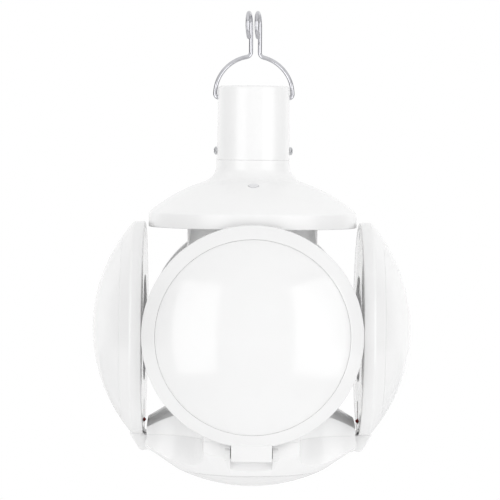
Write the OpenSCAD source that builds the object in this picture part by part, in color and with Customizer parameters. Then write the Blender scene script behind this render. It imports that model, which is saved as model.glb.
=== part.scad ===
// Folding ball lamp: four hinged light petals close round a battery column and hang from a wire hook.
// Origin: the point inside the hook rings that rests on the hanger. +Z up, the front petal faces -Y.
// Heights named "..._h" inside the lamp are measured up from the centre of the closed ball.

/* [Ball] */
// Radius of the closed ball
ball_r = 75; // [72:0.5:80]
// Distance of the four hinge arms' end faces from the lamp's axis
flat_d = 48.5; // [47:0.5:49]
// Wall of the plastic housings
shell_t = 2.2; // [1.6:0.1:2.6]

/* [Neck cap] */
// Height of the joint between neck cap and upper housing
cap_joint_h = 81.5; // [80:0.5:84]
// Height of the neck cap
cap_h = 34.8; // [32:0.2:40]
// Radius of the neck cap at its lower edge
cap_low_r = 17.2; // [17:0.1:18]
// Radius of the neck cap at its top edge
cap_top_r = 16.8; // [16.4:0.1:17]
// Rounding of the neck cap's top edge
cap_round_r = 1.4; // [0.8:0.1:1.6]
// Depth of the hook holes below the top of the cap
hook_hole_drop = 5.5; // [5:0.1:7]
// Height of the two side screws above the cap's lower edge
neck_screw_h = 4.4; // [4:0.1:6]

/* [Hook] */
// Diameter of the hook wire
wire_d = 2; // [1.6:0.1:2.2]
// Radius of the bail's arc, at the middle of the wire
bail_r = 18.2; // [18.2:0.1:19]
// Bend radius where each arc turns into its hole
foot_bend_r = 1.8; // [1.6:0.1:2.2]
// Bend radius where each arc turns up into its leg
leg_bend_r = 2.4; // [2:0.1:3]
// Half the distance between the two legs
leg_x = 2.1; // [2:0.1:2.6]
// Shift of both legs off the lamp's axis
leg_shift = 0.6; // [0:0.1:0.8]
// Distance of the ring centres above the hook holes, along the legs
ring_rise = 33.4; // [30:0.5:38]
// Radius of each hook ring, at the middle of the wire
ring_r = 6; // [5:0.2:6.4]
// Sweep of each hook ring
ring_sweep = 258; // [230:2:270]
// Turn of the hook rings about their legs
ring_yaw = 8.5; // [6:0.5:9]
// Length of wire inside the cap
foot_l = 4.6; // [3.6:0.2:5]

/* [Upper housing] */
// Height of the upper housing's lower edge
skirt_h = 50; // [49:0.5:52]
// Radius of the upper housing's upright skirt
skirt_r = 49; // [48:0.5:49.5]
// Radius of the spigot under the neck cap
spigot_r = 17.4; // [17.2:0.1:18]
// Fillet between spigot and dome
spigot_fillet_r = 8; // [6:0.5:9]
// Height of the sleeve inside the neck cap
sleeve_h = 9; // [8:0.5:10]
// Diameter of the signal window on the dome
window_d = 4.6; // [4:0.2:5]
// Angle of the signal window from the vertical
window_tilt = 21.5; // [20:0.5:24]

/* [Column] */
// Radius of the battery column
column_r = 30.7; // [30:0.1:32]
// Wall of the battery column
column_t = 2; // [1.6:0.1:2.4]
// Diameter of one cell
cell_d = 18.3; // [18:0.1:18.6]
// Length of one cell
cell_l = 65; // [64:0.5:66]

/* [Bottom housing] */
// Height of the joint between deck cover and bottom housing
deck_joint_h = -46.1; // [-46.4:0.1:-45.8]
// Height of the deck cone at the arms' end faces
deck_edge_h = -40; // [-40.5:0.1:-39.5]
// Slope of the deck cone
deck_slope = 31; // [29:1:32]
// Radius of the four hollows that leave the hinge arms between them
hollow_r = 26; // [25:0.5:27]
// Distance of the hollows' centres from both planes through the arms
hollow_c = 47.7; // [47.2:0.1:48.4]
// Height of the joint between bottom housing and bottom diffuser
lens_joint_h = -63.5; // [-64:0.1:-63]
// Radius of the bottom diffuser
lens_r = 35.5; // [34:0.1:37]
// Depth of the bottom diffuser's dome
lens_drop = 8.5; // [7:0.1:9]
// Slope of the cone under the bottom housing
cone_slope = 34.8; // [33:0.2:36]

/* [Hinges] */
// Distance of the hinge axes from the lamp's axis
hinge_d = 46.3; // [46:0.1:46.6]
// Height of the hinge axes
hinge_h = -51.5; // [-52:0.1:-51]
// Diameter of the hinge pins
pin_d = 2.5; // [2:0.1:3]
// Radius of the hinge knuckles
knuckle_r = 3; // [2.8:0.1:3.2]
// Width of the petal's hinge tab
tab_w = 18.6; // [17:0.1:20]
// Thickness of one friction washer
washer_t = 0.3; // [0.2:0.05:0.4]
// Thickness of the hinge lugs
lug_t = 2.4; // [2:0.1:3]

/* [Petals] */
// Distance of the petals' backs from the lamp's axis
petal_back_d = 50.5; // [50.5:0.1:50.8]
// Height of the petals' centres
petal_h = 2.2; // [2:0.1:2.6]
// Outer radius of a petal
petal_r = 50.2; // [49.8:0.1:50.2]
// Radius of the visible diffuser
diffuser_r = 44; // [42:0.1:45]
// Radius of the back cover
cover_r = 47.3; // [46.8:0.1:47.6]
// Thickness of the back cover
cover_t = 1.8; // [1.6:0.1:2]
// Thickness of the petal diffuser
diffuser_t = 1.7; // [1.4:0.1:2]
// Radius of the vent field in the back cover
vent_r = 25; // [22:0.5:27]
// Number of vent slots
vent_n = 24; // [16:2:28]
// Radius of the light-emitter board
board_r = 39; // [37:0.5:40]
// Thickness of the light-emitter boards
board_t = 1.2; // [1:0.1:1.4]

/* [Controls] */
// Diameter of the push button
button_d = 7; // [6:0.2:7.4]
// Travel of the push button
button_travel = 0.8; // [0.5:0.1:0.9]
// Height of the push button above the cap's lower edge
button_h = 23.6; // [23:0.1:24]
// Width of the charging socket
port_w = 8.9; // [8.9:0.1:9.2]
// Height of the charging socket's shell
port_t = 3.2; // [3:0.1:3.4]
// Height of the charging socket above the cap's lower edge
port_h = 14.6; // [14:0.1:15]

/* [Hidden] */

$fn = 96;
SIDES = ["front", "right", "rear", "left"];
SIDE_TURN = [0, 90, 180, 270];

// Small clearances
fit = 0.2;          // between plastic parts of one body
running = 0.05;     // radial, round a turning pin
cut = 1;            // length by which a cutting tool passes the face it cuts

// Hook and cap
hook_hole_h = cap_joint_h + cap_h - hook_hole_drop;
ring_reach = ring_r * cos(ring_yaw);
hook_lean = atan2(ring_reach, ring_rise);      // brings the ring centres over the hook holes
ball_z = -round(10 * (hook_hole_h + norm([ring_reach, ring_rise]) + ring_r - wire_d / 2)) / 10;
bead_extra = 0.06;                             // the wire's sections meet in beads this much thicker
bead_gap = 0.03;
cap_wall = 2;
cap_top_t = 2;
sleeve_r = cap_top_r - cap_wall - fit;
sleeve_t = 1.8;
neck_screw_head_d = 3.8;
neck_screw_head_t = 1.7;
neck_screw_d = 2.4;
neck_screw_l = 3.2;

// Dome
fillet_x = spigot_r + spigot_fillet_r;
fillet_h = sqrt(pow(ball_r + spigot_fillet_r, 2) - pow(fillet_x, 2));
spigot_bore_r = sleeve_r - sleeve_t;
fillet_steps = 10;
collar_t = 2;
window_proud = 0.35;
window_depth = 3;

// Screws inside the lamp
screw_d = 2.6;
screw_head_d = 4.8;
screw_head_t = 1.6;
screw_end = 1.4;                               // room left past the tip of a screw
boss_r = 3.4;
inner_screw_r = column_r - column_t - boss_r - 0.8;
plate_t = 2.4;
column_boss_r = 5.2;
column_boss_lift = 0.3;
column_boss_h = 8;
column_screw_l = plate_t + column_boss_h - screw_end;
column_hole_r = 12;
ledge_hole_r = 14;
deck_t = 2;
seat_depth = 4.8;                              // of the column in the deck
column_low_h = round(10 * (deck_edge_h + (flat_d - column_r) * tan(deck_slope) - seat_depth)) / 10;

// Battery
holder_r = column_r - column_t - 0.6;
cell_pitch = cell_d + 0.6;
cup_t = 2.4;
cup_depth = 4;
cell_low_h = column_low_h + column_boss_h + cup_t + 0.1;
cell_tip_t = 0.8;
driver_r = 24;
driver_t = 1.6;
driver_h = cell_low_h + cell_l + cup_t + 0.1;
driver_parts = [[-12, -6, 9, 8, 3.2], [4, -12, 7, 7, 1.4], [6, 4, 8, 6, 1.8]];    // x, y and size
capacitor_at = [-8, 10];
capacitor_d = 8;
capacitor_t = 4;
driver_room = 9.1;                             // over the driver board
column_top_h = round(10 * (driver_h + driver_t + driver_room + plate_t)) / 10;
lead_gap = 3.4;

// Thread of the dome's screws: most of the room between the column and the dome's wall
dome_room = sqrt(pow(ball_r - shell_t, 2) - pow(inner_screw_r + boss_r, 2)) - column_top_h;
dome_thread = round(10 * dome_room * 0.65) / 10;

// Bottom housing
lens_t = 1.6;
lens_sphere_r = (pow(lens_r, 2) + pow(lens_drop, 2)) / (2 * lens_drop);
lens_spigot_r = lens_r - 2.3;
lens_spigot_h = 3;
housing_floor_h = lens_joint_h + lens_spigot_h + board_t + fit;
housing_floor_t = 2;
housing_screw_r = 31;
lead_hole_d = 3.6;

// Hinges
notch_w = tab_w + 2 * (washer_t + running);
notch_back_d = 42.2;
notch_low_h = -59;
tab_top_h = deck_joint_h - 0.8;
lug_r = 3.4;
block_depth = 9.5;
pin_l = notch_w + 2 * lug_t - 0.4;
washer_r = 2.4;

// Petals
petal_rim_w = 5.2;
petal_ball_r = norm([petal_r, petal_back_d + petal_rim_w]);
bezel_t = 2;
flange_t = 1.6;
inner_t = 2.1;
ledge_r = diffuser_r + 2.4;
board_d = petal_back_d + cover_t + 1.8;
petal_screw_r = 44.4;
petal_boss_r = 3;
petal_screw_d = 2;
petal_screw_head_d = 3.6;
petal_screw_head_t = 1.2;
petal_screw_l = 3;
tab_tip = [52.2, -54.6];
slot_w = 5;
slot_low = -43;
slot_high = -32;
vent_w = 1.5;
vent_inner_r = 10;
lead_d = 1.4;

// Cap fittings
port_depth = 7;
port_wall_d = cap_low_r - 1.4;
control_d = port_wall_d - port_depth + 1.6;
control_w = 16;
control_low_h = cap_joint_h + sleeve_h + 1.6;
control_top_h = hook_hole_h - 2.4;
button_t = 4;
button_lip = 0.8;
button_lip_t = 1;
button_face_d = cap_low_r + 0.9;

// ---------- helpers ----------

// Puts lamp parts, drawn round the ball's centre, under the hanging point
module in_lamp() translate([0, 0, ball_z]) children();

// Turns a part drawn for the front petal to petal i
module at_side(i) in_lamp() rotate([0, 0, SIDE_TURN[i]]) children();

// Petal parts are drawn round +Z with Z = distance from the lamp's axis, then laid facing -Y
module at_petal(i) at_side(i) translate([0, 0, petal_h]) rotate([90, 0, 0]) children();

// Repeats children n times round Z, the first at angle a0
module ring_of(n, r, a0 = 0) for (k = [0:n - 1])
    rotate([0, 0, a0 + 360 * k / n]) translate([r, 0, 0]) children();

// Square column with four round hollows down its edges: the outline of the hinge arms, shrunk by inset
module arms(inset, low, high) difference() {
    d = flat_d - inset;
    translate([-d, -d, low]) cube([2 * d, 2 * d, high - low]);
    ring_of(4, hollow_c * sqrt(2), 45) translate([0, 0, low - cut])
        cylinder(r = hollow_r + inset, h = high - low + 2 * cut);
}

// Bent wire: r = bend radius, from angle a to angle b in the XY plane
module bend(r, a, b, d) rotate([0, 0, a]) rotate_extrude(angle = b - a) translate([r, 0]) circle(d = d);

// Round lead through a list of points, its straight runs crossing at each bend
module lead(points, d) for (k = [0:len(points) - 2]) {
    v = points[k + 1] - points[k];
    lap = d / 2;
    translate(points[k]) rotate([0, acos(v.z / norm(v)), atan2(v.y, v.x)])
        translate([0, 0, -lap]) cylinder(d = d, h = norm(v) + 2 * lap);
}

// Pan-head screw: head above Z = 0, shank below, with a cross recess
module screw(d, head_d, head_t, l) difference() {
    union() {
        cylinder(d1 = head_d, d2 = head_d * 0.8, h = head_t);
        translate([0, 0, -l]) cylinder(d = d, h = l + head_t / 2);
    }
    translate([0, 0, head_t]) for (a = [0, 90]) rotate([0, 0, a])
        cube([head_d * 0.6, head_d * 0.16, head_t], center = true);
}

// Round board with rings of light emitters on its upper face
module emitter_board(r, rings) {
    cylinder(r = r, h = board_t);
    for (g = rings) ring_of(g[0], g[1]) translate([-1.75, -1.4, board_t - 0.05]) cube([3.5, 2.8, 0.75]);
}

// ---------- hook ----------

// Bend of the hook wire, stopped just short of the beads at its ends
module wire_bend(r, a, b) {
    trim = bead_gap / r * 180 / PI;
    bend(r, a + trim, b - trim, wire_d);
}

// Straight run of the hook wire from z = 0 to z = l, stopped just short of its beads
module wire_run(l) translate([0, 0, bead_gap]) cylinder(d = wire_d, h = l - 2 * bead_gap);

// side = 1 for the wire on +X, -1 for the wire on -X
module hook_wire(side) {
    leg = leg_x + side * leg_shift;
    bend_x = leg + leg_bend_r;
    bend_rise = sqrt(pow(bail_r + leg_bend_r, 2) - pow(bend_x, 2));
    bail_angle = atan2(bend_rise, bend_x);
    leg_h = foot_bend_r + bend_rise;
    foot_x = bail_r - foot_bend_r;
    bail_end = bail_r * [cos(bail_angle), sin(bail_angle)];
    beads = [
        [foot_x, 0], [bail_r, foot_bend_r], [bail_end.x, foot_bend_r + bail_end.y], [leg, leg_h],
        [leg, ring_rise]
    ];
    in_lamp() translate([0, 0, hook_hole_h]) rotate([-hook_lean, 0, 0]) {
        mirror([side < 0 ? 1 : 0, 0, 0]) {
            for (p = beads) translate([p.x, 0, p.y]) sphere(d = wire_d + bead_extra);
            translate([foot_x - foot_l, 0, 0]) rotate([0, 90, 0]) wire_run(foot_l);
            translate([0, 0, foot_bend_r]) rotate([90, 0, 0]) {
                translate([foot_x, 0, 0]) wire_bend(foot_bend_r, -90, 0);
                wire_bend(bail_r, 0, bail_angle);
                translate([bend_x, bend_rise, 0]) wire_bend(leg_bend_r, 180, 180 + bail_angle);
            }
            translate([leg, 0, leg_h]) wire_run(ring_rise - leg_h);
        }
        translate([side * leg, 0, ring_rise]) rotate([0, 0, -ring_yaw]) translate([0, -ring_r, 0])
            rotate([90, 0, 90]) wire_bend(ring_r, 0, ring_sweep);
    }
}

module hook_wire_left() color("silver") hook_wire(-1);
module hook_wire_right() color("silver") hook_wire(1);

// ---------- neck cap ----------

module cap_solid() rotate_extrude() {
    edge = [cap_top_r - cap_round_r, cap_h - cap_round_r];
    polygon([[0, 0], [cap_low_r, 0], [cap_top_r, edge.y], [edge.x, edge.y], [edge.x, cap_h], [0, cap_h]]);
    translate(edge) intersection() {
        circle(r = cap_round_r);
        square(cap_round_r);
    }
}

module port_hole(grow) translate([0, 0, port_h]) rotate([-90, 0, 0]) linear_extrude(cap_low_r + cut) {
    square([port_w - port_t + 2 * grow, port_t + 2 * grow], center = true);
    for (s = [-1, 1]) translate([s * (port_w - port_t) / 2, 0]) circle(d = port_t + 2 * grow);
}

module neck_cap() color("white") in_lamp() translate([0, 0, cap_joint_h]) difference() {
    cap_solid();
    translate([0, 0, -cut]) cylinder(r1 = cap_low_r - cap_wall, r2 = cap_top_r - cap_wall,
        h = cap_h - cap_top_t + cut);
    translate([0, 0, cap_h - hook_hole_drop]) rotate([0, 90, 0])
        cylinder(d = wire_d + 2 * running, h = 2 * cap_low_r + 2 * cut, center = true);
    translate([0, 0, neck_screw_h]) rotate([0, 90, 0])
        cylinder(d = neck_screw_d + 2 * running, h = 2 * cap_low_r + 2 * cut, center = true);
    port_hole(fit / 2);
    translate([0, 0, button_h]) rotate([-90, 0, 0]) cylinder(d = button_d + 0.4, h = cap_low_r + cut);
}

module neck_screws() color("silver") in_lamp() for (s = [0, 180])
    rotate([0, 0, s]) translate([cap_low_r, 0, cap_joint_h + neck_screw_h]) rotate([0, 90, 0])
        screw(neck_screw_d, neck_screw_head_d, neck_screw_head_t, neck_screw_l);

module power_button() color("gainsboro") in_lamp()
    translate([0, button_face_d, cap_joint_h + button_h]) rotate([90, 0, 0]) {
        cylinder(d = button_d, h = button_t);
        translate([0, 0, button_t]) cylinder(d = button_d + 2 * button_lip, h = button_lip_t);
    }

module charge_port() color("dimgray") in_lamp() translate([0, 0, cap_joint_h]) {
    difference() {
        intersection() {
            port_hole(-fit / 2);
            translate([-port_w, port_wall_d - port_depth, 0]) cube([2 * port_w, port_depth, cap_h]);
        }
        translate([0, port_wall_d - port_depth + 0.8, 0]) port_hole(-fit / 2 - 0.3);
    }
    translate([-2.9, port_wall_d - port_depth + 0.4, port_h - 0.35]) cube([5.8, port_depth - 1.6, 0.7]);
}

module control_board() color("darkgreen") in_lamp() {
    board_y = control_d - 1.6;
    translate([-control_w / 2, board_y - 1.2, control_low_h])
        cube([control_w, 1.2, control_top_h - control_low_h]);
    translate([-3, board_y - 0.01, cap_joint_h + button_h - 3]) cube([6, 2.2, 6]);
    translate([0, board_y, cap_joint_h + button_h]) rotate([-90, 0, 0]) cylinder(d = 3,
        h = button_face_d - button_t - button_lip_t - board_y - button_travel - 0.1);
    translate([-4, board_y - 3.2, control_low_h + 4]) cube([5, 2.1, 5]);
    translate([2.5, board_y - 3.4, control_low_h + 2]) cube([3.4, 2.3, 3.4]);
}

// ---------- upper housing ----------

// Points of an arc of radius r about [x, z], from angle a to angle b
function arc(x, z, r, a, b, steps) = [
    for (k = [0:steps]) let (t = a + (b - a) * k / steps) [x + r * cos(t), z + r * sin(t)]
];

module dome_solid() {
    sphere(r = ball_r);
    cylinder(r = spigot_r, h = cap_joint_h);
    rotate_extrude() polygon(concat([[spigot_r - 1, fillet_h]],
        arc(fillet_x, fillet_h, spigot_fillet_r, 180, 180 + atan2(fillet_h, fillet_x), fillet_steps),
        [[spigot_r - 1, ball_r - spigot_fillet_r]]));
}

module upper_housing() color("white") in_lamp() {
    inner_r = ball_r - shell_t;
    difference() {
        intersection() {
            dome_solid();
            translate([0, 0, skirt_h]) cylinder(r = skirt_r, h = ball_r);
        }
        intersection() {
            sphere(r = inner_r);
            translate([0, 0, skirt_h - cut]) cylinder(r = skirt_r - shell_t, h = ball_r);
        }
        cylinder(r = spigot_bore_r, h = cap_joint_h + cut);
        rotate([window_tilt, 0, 0]) translate([0, 0, inner_r - cut])
            cylinder(d = window_d, h = shell_t + 2 * cut);
    }
    translate([0, 0, cap_joint_h - 0.5]) difference() {
        cylinder(r = sleeve_r, h = sleeve_h + 0.5);
        translate([0, 0, -cut]) cylinder(r = spigot_bore_r, h = sleeve_h + 2 * cut);
        translate([0, 0, neck_screw_h + 0.5]) rotate([0, 90, 0])
            cylinder(d = neck_screw_d, h = 2 * cap_low_r, center = true);
    }
    intersection() {
        sphere(r = inner_r + shell_t / 2);
        difference() {
            union() {
                translate([0, 0, skirt_h + 1]) difference() {
                    cylinder(r = column_r + fit + collar_t, h = ball_r);
                    translate([0, 0, -cut]) cylinder(r = column_r + fit, h = ball_r + 2 * cut);
                }
                ring_of(4, inner_screw_r, 45) translate([0, 0, column_top_h + fit])
                    cylinder(r = boss_r, h = ball_r);
            }
            ring_of(4, inner_screw_r, 45)
                cylinder(d = screw_d, h = column_top_h + dome_thread + 0.4);
        }
    }
}

module signal_window() color("lightgray") in_lamp() rotate([window_tilt, 0, 0])
    translate([0, 0, ball_r - window_depth]) {
        cylinder(d = window_d - 2 * running, h = window_depth);
        intersection() {
            translate([0, 0, window_depth + window_proud - window_d]) sphere(r = window_d);
            translate([0, 0, window_depth - 0.01])
                cylinder(d = window_d - 2 * running, h = window_proud + 1);
        }
    }

module dome_screws() color("silver") in_lamp() ring_of(4, inner_screw_r, 45)
    translate([0, 0, column_top_h - plate_t]) rotate([180, 0, 0])
        screw(screw_d, screw_head_d, screw_head_t, plate_t + dome_thread);

// ---------- column ----------

module column_shell() color("lightgray") in_lamp() difference() {
    union() {
        difference() {
            translate([0, 0, column_low_h]) cylinder(r = column_r, h = column_top_h - column_low_h);
            translate([0, 0, column_low_h - cut])
                cylinder(r = column_r - column_t, h = column_top_h - plate_t - column_low_h + cut);
        }
        ring_of(4, inner_screw_r, 45) translate([0, 0, column_low_h + column_boss_lift])
            cylinder(r = column_boss_r, h = column_boss_h - column_boss_lift);
    }
    translate([0, 0, column_top_h - plate_t - cut]) cylinder(r = column_hole_r, h = plate_t + 2 * cut);
    ring_of(4, inner_screw_r, 45) {
        translate([0, 0, column_top_h - plate_t - cut]) cylinder(d = screw_d + fit, h = plate_t + 2 * cut);
        translate([0, 0, column_low_h - cut]) cylinder(d = screw_d, h = column_boss_h + 2 * cut);
    }
}

module driver_board() color("darkgreen") in_lamp() translate([0, 0, driver_h]) {
    cylinder(r = driver_r, h = driver_t);
    for (p = driver_parts) translate([p[0], p[1], driver_t - 0.05])
        cube([p[2], p[3], p[4] + 0.05]);
    translate([capacitor_at.x, capacitor_at.y, driver_t - 0.05])
        cylinder(d = capacitor_d, h = capacitor_t + 0.05);
}

module battery_cells() color("steelblue") in_lamp() ring_of(4, cell_pitch / sqrt(2), 45)
    translate([0, 0, cell_low_h]) {
        cylinder(d = cell_d, h = cell_l);
        cylinder(d = 6, h = cell_l + cell_tip_t);
    }

// End plate with four cups, open downwards or upwards
module cell_plate(open_up) difference() {
    cylinder(r = holder_r, h = cup_t + cup_depth);
    translate([0, 0, open_up ? cup_t : -cut]) ring_of(4, cell_pitch / sqrt(2), 45)
        cylinder(d = cell_d + fit, h = cup_depth + cut);
    if (!open_up) ring_of(4, cell_pitch / sqrt(2), 45)
        cylinder(d = 6 + 2 * fit, h = cup_depth + cell_tip_t + fit);
    translate([-5, holder_r - lead_gap, -cut]) cube([10, lead_gap + cut, cup_t + cup_depth + 2 * cut]);
}

module battery_holder() color("dimgray") in_lamp() translate([0, 0, cell_low_h]) {
    translate([0, 0, -cup_t]) cell_plate(true);
    translate([0, 0, cell_l - cup_depth]) cell_plate(false);
    translate([0, 0, -cup_t]) cylinder(d = 6, h = cell_l + cup_t);
}

module column_screws() color("silver") in_lamp() ring_of(4, inner_screw_r, 45)
    translate([0, 0, column_low_h - plate_t]) rotate([180, 0, 0])
        screw(screw_d, screw_head_d, screw_head_t, column_screw_l);

// ---------- bottom housing ----------

// Cone of the deck, grown or shrunk along its axis
module deck_cone(drop) {
    apex = deck_edge_h + flat_d * tan(deck_slope) - drop;
    translate([0, 0, apex - ball_r * tan(deck_slope)])
        cylinder(r1 = ball_r, r2 = 0, h = ball_r * tan(deck_slope));
}

module deck_cover() color("white") in_lamp() {
    ledge = column_low_h - plate_t;
    difference() {
        intersection() {
            arms(0, deck_joint_h, 0);
            deck_cone(0);
        }
        intersection() {
            arms(shell_t, deck_joint_h - cut, 0);
            deck_cone(deck_t / cos(deck_slope));
        }
        cylinder(r = column_r + fit / 2, h = 2 * ball_r, center = true);
    }
    intersection() {
        deck_cone(deck_t / 2);
        translate([0, 0, ledge + plate_t / 2]) difference() {
            cylinder(r = column_r + 3, h = ball_r);
            translate([0, 0, -cut]) cylinder(r = column_r + fit / 2, h = ball_r + 2 * cut);
        }
    }
    translate([0, 0, ledge]) difference() {
        cylinder(r = column_r + 3, h = plate_t);
        translate([0, 0, -cut]) cylinder(r = ledge_hole_r, h = plate_t + 2 * cut);
        ring_of(4, inner_screw_r, 45) translate([0, 0, -cut])
            cylinder(d = screw_d + fit, h = plate_t + 2 * cut);
    }
    ring_of(4, housing_screw_r, 0) translate([0, 0, deck_joint_h]) difference() {
        cylinder(r = boss_r, h = ledge - deck_joint_h + 0.5);
        translate([0, 0, -cut]) cylinder(d = screw_d, h = 6);
    }
}

// Outer body of the bottom housing, shrunk by inset
module housing_body(inset) {
    cone_r = lens_r + (deck_joint_h - lens_joint_h) / tan(cone_slope);
    intersection() {
        arms(inset, lens_joint_h, deck_joint_h);
        translate([0, 0, lens_joint_h]) cylinder(r1 = lens_r - inset / sin(cone_slope),
            r2 = cone_r - inset / sin(cone_slope), h = deck_joint_h - lens_joint_h);
    }
}

module hinge_block() {
    intersection() {
        housing_body(0);
        translate([-notch_w / 2 - lug_t, -flat_d, lens_joint_h])
            cube([notch_w + 2 * lug_t, block_depth, deck_joint_h - lens_joint_h]);
    }
    for (s = [-1, 1]) translate([s * (notch_w + lug_t) / 2, -hinge_d, hinge_h]) rotate([0, 90, 0])
        cylinder(r = lug_r, h = lug_t, center = true);
}

module hinge_cut() {
    translate([-notch_w / 2, -ball_r, notch_low_h])
        cube([notch_w, ball_r - notch_back_d, deck_joint_h - notch_low_h + cut]);
    translate([0, -hinge_d, hinge_h]) rotate([0, 90, 0])
        cylinder(d = pin_d + 0.04, h = pin_l + 2 * fit, center = true);
    translate([0, 0, hinge_h]) rotate([90, 0, 0]) cylinder(d = lead_hole_d, h = flat_d);
}

module bottom_housing() color("white") in_lamp() difference() {
    union() {
        difference() {
            housing_body(0);
            intersection() {
                housing_body(shell_t);
                translate([0, 0, housing_floor_h + housing_floor_t]) cylinder(r = ball_r, h = ball_r);
            }
            translate([0, 0, housing_floor_h + housing_floor_t]) cylinder(r = lens_spigot_r, h = ball_r);
            translate([0, 0, lens_joint_h - cut])
                cylinder(r = lens_spigot_r + fit, h = housing_floor_h - lens_joint_h + cut);
        }
        for (i = [0:3]) rotate([0, 0, SIDE_TURN[i]]) hinge_block();
        ring_of(4, housing_screw_r, 0) translate([0, 0, housing_floor_h])
            cylinder(r = boss_r, h = deck_joint_h - housing_floor_h);
    }
    for (i = [0:3]) rotate([0, 0, SIDE_TURN[i]]) hinge_cut();
    ring_of(4, housing_screw_r, 0) {
        translate([0, 0, housing_floor_h - cut]) cylinder(d = screw_d + fit, h = ball_r);
        translate([0, 0, housing_floor_h - cut])
            cylinder(d = screw_head_d + fit, h = screw_head_t + cut + fit);
    }
    translate([0, 0, housing_floor_h - cut]) cylinder(d = 8, h = housing_floor_t + 2 * cut);
}

module housing_screws() color("silver") in_lamp() ring_of(4, housing_screw_r, 0)
    translate([0, 0, housing_floor_h + screw_head_t + fit]) rotate([180, 0, 0])
        screw(screw_d, screw_head_d, screw_head_t, deck_joint_h - housing_floor_h + 3);

module bottom_led_board() color("ivory") in_lamp() translate([0, 0, housing_floor_h]) rotate([180, 0, 0])
    emitter_board(lens_spigot_r - 1.8, [[20, 25], [14, 17], [6, 8]]);

module bottom_diffuser() color("white") in_lamp() {
    top = lens_joint_h + lens_sphere_r - lens_drop;
    intersection() {
        difference() {
            translate([0, 0, top]) sphere(r = lens_sphere_r);
            translate([0, 0, top]) sphere(r = lens_sphere_r - lens_t);
        }
        translate([0, 0, lens_joint_h - lens_drop - cut]) cylinder(r = lens_r, h = lens_drop + cut);
    }
    translate([0, 0, lens_joint_h - lens_t]) difference() {
        cylinder(r = lens_spigot_r, h = lens_spigot_h + lens_t);
        translate([0, 0, -cut]) cylinder(r = lens_spigot_r - 1.6, h = lens_spigot_h + lens_t + 2 * cut);
    }
}

module hinge_pins() color("silver") for (i = [0:3]) at_side(i)
    translate([0, -hinge_d, hinge_h]) rotate([0, 90, 0]) cylinder(d = pin_d, h = pin_l, center = true);

module hinge_washers() color("dimgray") for (i = [0:3], s = [-1, 1]) at_side(i)
    translate([s * (tab_w / 2 + running + washer_t / 2), -hinge_d, hinge_h]) rotate([0, 90, 0])
        difference() {
            cylinder(r = washer_r, h = washer_t, center = true);
            cylinder(d = pin_d + 2 * running, h = washer_t + cut, center = true);
        }

module supply_leads() color("firebrick") in_lamp() for (s = [-1, 1]) {
    x = s * 2.2;
    wall_y = holder_r - lead_gap / 2;
    board_top = driver_h + driver_t + lead_d / 2 + 0.05;
    lead([
        [x, control_d - 3.6, control_low_h + 1], [x, 3, cap_joint_h], [x, 0, board_top + 6],
        [x, 0, board_top]
    ], lead_d);
    lead([
        [x, driver_r - 5, board_top], [x, wall_y, board_top], [x, wall_y, column_low_h + 3],
        [x, 9, column_low_h + 2], [x, 4, column_low_h - 8], [x, 0, housing_floor_h + lead_d / 2 + 0.3]
    ], lead_d);
}

// ---------- petals ----------

// Spherical shell of a petal, centred on the ball
module petal_shell(outer, inner) difference() {
    sphere(r = outer);
    sphere(r = inner);
}

module petal_disc(r, low, high) translate([0, 0, low]) cylinder(r = r, h = high - low);

module hinge_tab() rotate([90, 0, 90]) linear_extrude(tab_w, center = true) {
    polygon([
        [-hinge_d, hinge_h - knuckle_r], [-tab_tip.x + 1.2, tab_tip.y - 0.5], [-tab_tip.x, tab_tip.y],
        [-tab_tip.x - 5.4, petal_h - petal_r + 1.3], [-petal_back_d - 5, petal_h - petal_r + 5],
        [-petal_back_d, petal_h - petal_r + 5], [-petal_back_d, tab_top_h],
        [-hinge_d, hinge_h + knuckle_r]
    ]);
    translate([-hinge_d, hinge_h]) circle(r = knuckle_r);
}

// Screw bosses joined to the frame's wall, under the diffuser's flange
module petal_bosses() intersection() {
    sphere(r = petal_ball_r - bezel_t - flange_t - 0.2);
    ring_of(3, petal_screw_r, 90) difference() {
        union() {
            petal_disc(petal_boss_r, petal_back_d + cover_t + fit / 2, ball_r);
            translate([0, -petal_boss_r, petal_back_d + cover_t + fit / 2])
                cube([petal_r - inner_t - petal_screw_r + 0.5, 2 * petal_boss_r, ball_r]);
        }
        petal_disc(petal_screw_d / 2 + 0.02, 0, ball_r);
    }
}

module petal_frame(i) color("white") {
    difference() {
        union() {
            at_petal(i) difference() {
                intersection() {
                    sphere(r = petal_ball_r);
                    petal_disc(petal_r, petal_back_d, ball_r);
                }
                intersection() {
                    sphere(r = petal_ball_r - bezel_t);
                    petal_disc(petal_r - inner_t, petal_back_d + cover_t + fit, ball_r);
                }
                petal_disc(cover_r + fit, petal_back_d - cut, petal_back_d + cover_t + cut);
                petal_disc(diffuser_r, petal_back_d, ball_r + cut);
            }
            at_petal(i) petal_bosses();
            at_side(i) difference() {
                hinge_tab();
                translate([0, 0, petal_h]) rotate([90, 0, 0]) petal_disc(cover_r + fit + 0.5, 0, ball_r);
            }
        }
        at_side(i) translate([0, -hinge_d, hinge_h]) rotate([0, 90, 0])
            cylinder(d = pin_d + 2 * running, h = tab_w + 2 * cut, center = true);
    }
}

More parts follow.
